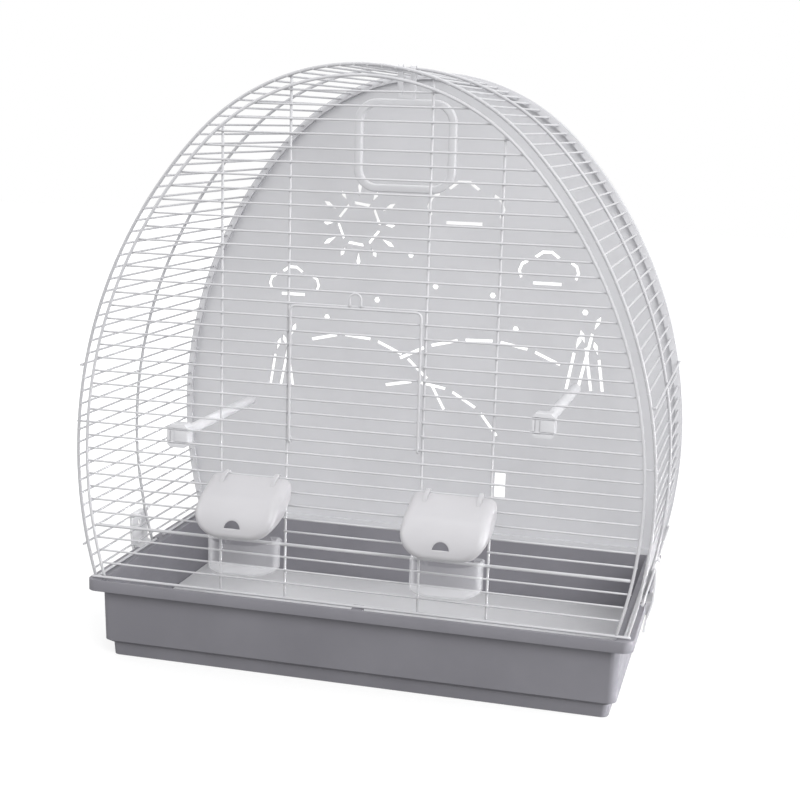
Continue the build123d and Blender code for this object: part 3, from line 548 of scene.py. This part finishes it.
# Cups: clear, with a round front, a soft bottom edge and two ears over the thick wire. The bowl sits a
# little to the left of its hood, and its wall is straight from the belt up.
CUP_LOW, CUP_HIGH, CUP_WALL, CUP_BACK = WALL_Z + 27, WALL_Z + 57, 1.6, FRONT_Y - 0.3
CUP_HALF, CUP_DEPTH, CUP_SIDE = 32.5, 39, -3.0
CUP_ROUND_FRONT, CUP_ROUND_BACK = 27, 3
CUP_SOFT, CUP_SOFT_INSIDE = 4.0, 2.6
CUP_FLOOR_INSET, CUP_BELT = 7, 12
CROSS_Z = level_z(4)
EAR_HALF, EAR_THICK, EAR_GAP = 4.5, 1.6, 0.3
EAR_BACK = ROW_Y + WIRE / 2 + EAR_GAP
EAR_LOW = CROSS_Z + ARCH / 2 + EAR_GAP
TONGUE_HALF, TONGUE_DROP = 0.9, 8


def cup_outline(inset):
    """Plan of the cup in X and Y, about its own middle, pulled in by an amount."""
    half, front, back = CUP_HALF - inset, CUP_BACK - CUP_DEPTH + inset, CUP_BACK - inset
    round_front, round_back = max(CUP_ROUND_FRONT - inset, 1), max(CUP_ROUND_BACK - inset, 0.6)
    points = turn_points((-half + round_front, front + round_front), round_front, 180, 270, 16)
    points += turn_points((half - round_front, front + round_front), round_front, 270, 360, 16)
    points += turn_points((half - round_back, back - round_back), round_back, 0, 90, 5)
    points += turn_points((-half + round_back, back - round_back), round_back, 90, 180, 5)
    return points


def cup_profile():
    """Pairs of inset and height: up the inside, over the rim, down the outside and under the bottom."""
    corner = CUP_WALL + CUP_SOFT_INSIDE
    inner = turn_points((corner, CUP_LOW + corner), CUP_SOFT_INSIDE, 270, 180, 6)
    rim = turn_points((CUP_WALL / 2, CUP_HIGH - CUP_WALL / 2), CUP_WALL / 2, 0, 180, 6)
    bottom = turn_points((CUP_SOFT, CUP_LOW + CUP_SOFT), CUP_SOFT, 180, 270, 7)
    inside = [(CUP_FLOOR_INSET, CUP_LOW + CUP_WALL), *inner, (CUP_WALL, CUP_LOW + CUP_BELT)]
    outside = [(0, CUP_LOW + CUP_BELT), *bottom, (CUP_FLOOR_INSET, CUP_LOW)]
    return inside + rim + outside


strap = [
    (CUP_BACK - CUP_WALL, CUP_HIGH - 1.2), (CUP_BACK - CUP_WALL + 0.4, CUP_HIGH + 0.2),
    (EAR_BACK + 0.6, EAR_LOW + 1.6), (EAR_BACK + EAR_THICK, EAR_LOW + 0.8),
    (EAR_BACK + EAR_THICK, EAR_LOW - 1.0), (EAR_BACK, EAR_LOW - 1.0), (EAR_BACK, EAR_LOW),
    (CUP_BACK - 0.3, EAR_LOW)]
for side, hand in ((-1, "left"), (1, "right")):
    centre = side * FEEDER_X + CUP_SIDE
    bm = bmesh.new()
    rings = [[bm.verts.new(Vector((centre + x, y, z)) * MM) for x, y in cup_outline(inset)]
             for inset, z in cup_profile()]
    skin(bm, rings)
    bm.faces.new(rings[0])
    bm.faces.new(rings[-1])
    solid(f"{hand}_cup_bowl", bm, f"{hand}_cup", clear, "clear_plastic", f"{hand}_cup")
    bm = bmesh.new()
    for lean in (-1, 1):
        middle = side * FEEDER_X + lean * GRIP_HALF
        prism(bm, strap, middle - EAR_HALF, middle + EAR_HALF, "X")
        tongue = [(middle - EAR_HALF, EAR_LOW - 0.4), (middle + EAR_HALF, EAR_LOW - 0.4),
                  (middle + TONGUE_HALF, EAR_LOW - TONGUE_DROP), (middle - TONGUE_HALF, EAR_LOW - TONGUE_DROP)]
        prism(bm, tongue, EAR_BACK, EAR_BACK + EAR_THICK, "Y")
    broken_edges(solid(f"{hand}_cup_ears", bm, f"{hand}_cup", clear, "clear_plastic"), 0.35, 2)

# Raised floors in the slots of the perch blocks, which lie to the left of each perch's middle
PERCHES = ((-171.0, 11.5), (172.0, 14.5))
SLOT_LEFT, SLOT_RIGHT, SLOT_HALF_HEIGHT = 7.4, 2.6, 7.4
SLOT_FRONT, SLOT_FLOOR = -130.8, -126.5
bm = bmesh.new()
for x, level in PERCHES:
    left, right = x - SLOT_LEFT, x - SLOT_RIGHT
    low, high = level_z(level) - SLOT_HALF_HEIGHT, level_z(level) + SLOT_HALF_HEIGHT
    prism(bm, [(left, low), (right, low), (right, high), (left, high)], SLOT_FRONT, SLOT_FLOOR, "Y")
broken_edges(solid("perch_slot_floors", bm, "cage", perch_white, "perch_plastic"), 0.5, 2)

# Weld beads where wires cross: half sizes along X, Y and Z, and how far they sit from the wires' middle
BAND_BEAD, ROW_BEAD, DOOR_BEAD = (1.15, 1.6, 1.15), (1.7, 1.0, 1.2), (1.6, 0.9, 1.15)
BAND_BEAD_SINK, FRAME_BEAD_SINK, ROW_BEAD_SINK, DOOR_BEAD_SINK = 1.1, 1.4, 0.9, 1.2
REAR_BEAD_SINK = 0.6
END_SLACK = 0.5


def half_width(z, inset):
    """Half the width of the arched outline at a height."""
    if z >= CROWN_Z + (CROWN_RADIUS - inset) * math.cos(CROWN_ANGLE):
        return math.sqrt((CROWN_RADIUS - inset) ** 2 - (z - CROWN_Z) ** 2)
    return SIDE_X + math.sqrt((SIDE_RADIUS - inset) ** 2 - (z - SIDE_Z) ** 2)


def bead(bm, centre, size, k):
    """Adds a small uneven bead of metal under the coat."""
    made = bmesh.ops.create_icosphere(bm, subdivisions=2, radius=1.0)["verts"]
    swell = [size[i] * (1 + 0.12 * math.sin(5 * k + 3 * i)) for i in range(3)]
    for v in made:
        v.co = (Vector(centre) + Vector(v.co[i] * swell[i] for i in range(3))) * MM


def band_spots(low, high):
    """Places where a depth wire meets the three arches."""
    middle = (low + high) / 2
    shift = band_shift(middle)
    middle += shift - inward(middle) * (BAND_BEAD_SINK if shift.length else -BAND_BEAD_SINK)
    return [(middle.x, y, middle.z) for y in (FRONT_ARCH_Y, 0, BACK_Y - REAR_BEAD_SINK)]


def row_spots(low, high):
    """Places where a front row meets the frame's legs and the uprights."""
    middle = (low + high) / 2
    leg_x = half_width(middle.z, FRAME_INSET)
    spots = [(side * leg_x, FRONT_Y + FRAME_BEAD_SINK, middle.z) for side in (-1, 1)]
    spots += [(side * x, ROW_Y + ROW_BEAD_SINK, middle.z) for side in (-1, 1)
              for x in (INNER_UPRIGHT_X, OUTER_UPRIGHT_X) if x < leg_x]
    return [spot for spot in spots if low.x - END_SLACK <= spot[0] <= high.x + END_SLACK]


bm = bmesh.new()
count = 0
for name in nodes:
    is_band = name.startswith("band_wires")
    if not is_band and (not name.endswith("_rows") or name == "door_rows"):
        continue
    for low, high in wire_boxes(name):
        for spot in band_spots(low, high) if is_band else row_spots(low, high):
            bead(bm, spot, BAND_BEAD if is_band else ROW_BEAD, count)
            count += 1
solid("weld_beads", bm, "cage", coat, "white_wire")
bm = bmesh.new()
for low, high in wire_boxes("door_rows"):
    for side in (-1, 1):
        bead(bm, (side * DOOR_HALF, LEG_Y + DOOR_BEAD_SINK, (low.z + high.z) / 2), DOOR_BEAD, count)
        count += 1
solid("door_weld_beads", bm, "door", coat, "white_wire")


# Floor, light and camera, in metres
def seen(tree):
    """1 where the camera sees a surface, also through clear plastic, and 0 for other light."""
    path = tree.nodes.new("ShaderNodeLightPath")
    either = tree.nodes.new("ShaderNodeMath")
    either.operation = "MAXIMUM"
    tree.links.new(path.outputs["Is Camera Ray"], either.inputs[0])
    tree.links.new(path.outputs["Is Transmission Ray"], either.inputs[1])
    return either.outputs[0]


FLOOR_HALF, FLOOR_Z = 6, -0.0005
floor_mesh = bpy.data.meshes.new("floor")
floor_mesh.from_pydata([(x * FLOOR_HALF, y * FLOOR_HALF, FLOOR_Z)
                        for x, y in ((-1, -1), (1, -1), (1, 1), (-1, 1))], [], [(0, 1, 2, 3)])
floor = bpy.data.objects.new("floor", floor_mesh)
bpy.context.scene.collection.objects.link(floor)

# The floor keeps the cage's shadow near it and fades to white further out
pale = bpy.data.materials.new("pale_floor")
pale.use_nodes = True
tree = pale.node_tree
new, link = tree.nodes.new, tree.links.new
bsdf = tree.nodes["Principled BSDF"]
fill(bsdf, {"Base Color": (0.3, 0.3, 0.3, 1), "Roughness": 0.9, "Specular IOR Level": 0.0})
reach = new("ShaderNodeVectorMath")
reach.operation = "LENGTH"
link(new("ShaderNodeTexCoord").outputs["Object"], reach.inputs[0])
fade = new("ShaderNodeMapRange")
fade.interpolation_type = "SMOOTHSTEP"
fill(fade, {"From Min": 0.4, "From Max": 1.1, "To Min": 0.72, "To Max": 1.0})
link(reach.outputs["Value"], fade.inputs["Value"])
power = new("ShaderNodeMath")
power.operation = "MULTIPLY"
link(seen(tree), power.inputs[0])
link(fade.outputs["Result"], power.inputs[1])
glow = new("ShaderNodeEmission")
link(power.outputs[0], glow.inputs["Strength"])
both = new("ShaderNodeAddShader")
link(bsdf.outputs[0], both.inputs[0])
link(glow.outputs[0], both.inputs[1])
link(both.outputs[0], tree.nodes["Material Output"].inputs["Surface"])
floor_mesh.materials.append(pale)

world = bpy.data.worlds.new("studio")
bpy.context.scene.world = world
world.use_nodes = True
tree = world.node_tree
level = tree.nodes.new("ShaderNodeMapRange")
fill(level, {"To Min": 0.85, "To Max": 1.0})
tree.links.new(seen(tree), level.inputs["Value"])
tree.links.new(level.outputs["Result"], tree.nodes["Background"].inputs["Strength"])
fill(tree.nodes["Background"], {"Color": (1, 1, 1, 1)})


def lamp(name, at, aim, size, watts, spread=180):
    """A square soft box that points at a place."""
    data = bpy.data.lights.new(name, "AREA")
    data.size = size
    data.spread = math.radians(spread)
    data.energy = watts
    obj = bpy.data.objects.new(name, data)
    obj.location = at
    obj.rotation_euler = (Vector(aim) - Vector(at)).to_track_quat("-Z", "Y").to_euler()
    bpy.context.scene.collection.objects.link(obj)


lamp("key", (1.9, -2.2, 2.0), (0, 0, 0.25), 1.8, 68)
lamp("fill", (-2.2, -1.6, 1.4), (0, 0, 0.25), 1.8, 20)
lamp("top", (0.0, 0.6, 2.6), (0, 0, 0.2), 1.6, 20)
lamp("side", (2.4, 0.5, 0.25), (0.25, 0, 0.1), 0.8, 42)
# A narrow beam on the tray's right side, below the wires
lamp("low_side", (1.1, -0.05, 0.05), (0.26, -0.05, 0.035), 0.12, 0.28, 26)

CAMERA_AT = (0.36689, -1.35923, 0.52059)
LENS, SENSOR = 65.46, 36.0
yaw, pitch, roll = math.radians(14.784), math.radians(10.873), math.radians(1.646)
right = Vector((math.cos(yaw), math.sin(yaw), 0))
ahead = Vector((-math.sin(yaw) * math.cos(pitch), math.cos(yaw) * math.cos(pitch), -math.sin(pitch)))
up = right.cross(ahead)
right, up = (right * math.cos(roll) + up * math.sin(roll), up * math.cos(roll) - right * math.sin(roll))
camera_data = bpy.data.cameras.new("camera")
camera_data.sensor_width = SENSOR
camera_data.lens = LENS
camera = bpy.data.objects.new("camera", camera_data)
aim = Matrix((right, up, -ahead)).transposed().to_4x4()
camera.matrix_world = Matrix.Translation(CAMERA_AT) @ aim
bpy.context.scene.collection.objects.link(camera)
bpy.context.scene.camera = camera

bpy.context.scene.view_settings.view_transform = "Standard"
